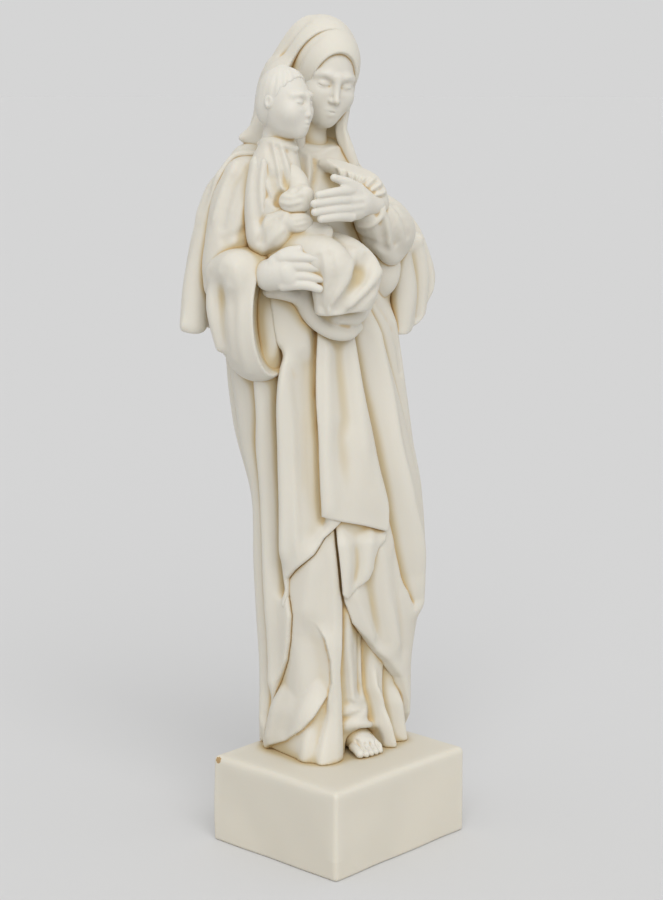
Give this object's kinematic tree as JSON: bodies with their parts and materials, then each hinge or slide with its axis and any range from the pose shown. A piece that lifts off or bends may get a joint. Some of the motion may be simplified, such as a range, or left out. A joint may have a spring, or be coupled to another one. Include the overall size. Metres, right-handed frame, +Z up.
{
  "type": "madonna statue",
  "caption": "Standing robed mother holding a child on her right arm, cast in ivory resin with brown patina in the folds, on a plain block plinth.",
  "frame": {"origin": "centre of the plinth's flat underside", "axes": "+Z up through the hood, -Y is the front that the figure faces, +X is the figure's own left, image right from the front"},
  "size_m": [0.0804, 0.0558, 0.2531],
  "materials": {
    "plinth_resin": "matte hand-finished ivory cast resin",
    "cloak_resin": "matte ivory cast resin with brown patina in the creases",
    "gown_resin": "matte ivory cast resin with brown patina in the creases",
    "skin_resin": "matte ivory cast resin, rubbed smooth",
    "pin_brass": "satin"
  },
  "bodies": {
    "root": {"plinth": "plinth_resin", "locating_pins": "pin_brass", "gown_skirt": "gown_resin", "right_foot": "skin_resin", "cloak_right_side": "cloak_resin", "cloak_lower_fall": "cloak_resin", "cloak_front_fall": "cloak_resin", "cloak_centre_panel": "cloak_resin", "cloak_left_side": "cloak_resin", "cloak_back": "cloak_resin", "gown_bodice": "gown_resin", "right_upper_sleeve": "gown_resin", "right_bell_sleeve": "gown_resin", "cloak_right_shoulder": "cloak_resin", "left_sleeve": "gown_resin", "cloak_left_shoulder": "cloak_resin", "mother_head": "skin_resin", "inner_veil": "cloak_resin", "hood": "cloak_resin", "right_hand": "skin_resin", "left_hand": "skin_resin", "child_head": "skin_resin", "child_hair": "skin_resin", "child_tunic": "gown_resin", "child_right_arm": "gown_resin", "child_left_arm": "gown_resin", "child_legs_drape": "gown_resin", "child_wrap": "cloak_resin"}
  },
  "joints": []
}
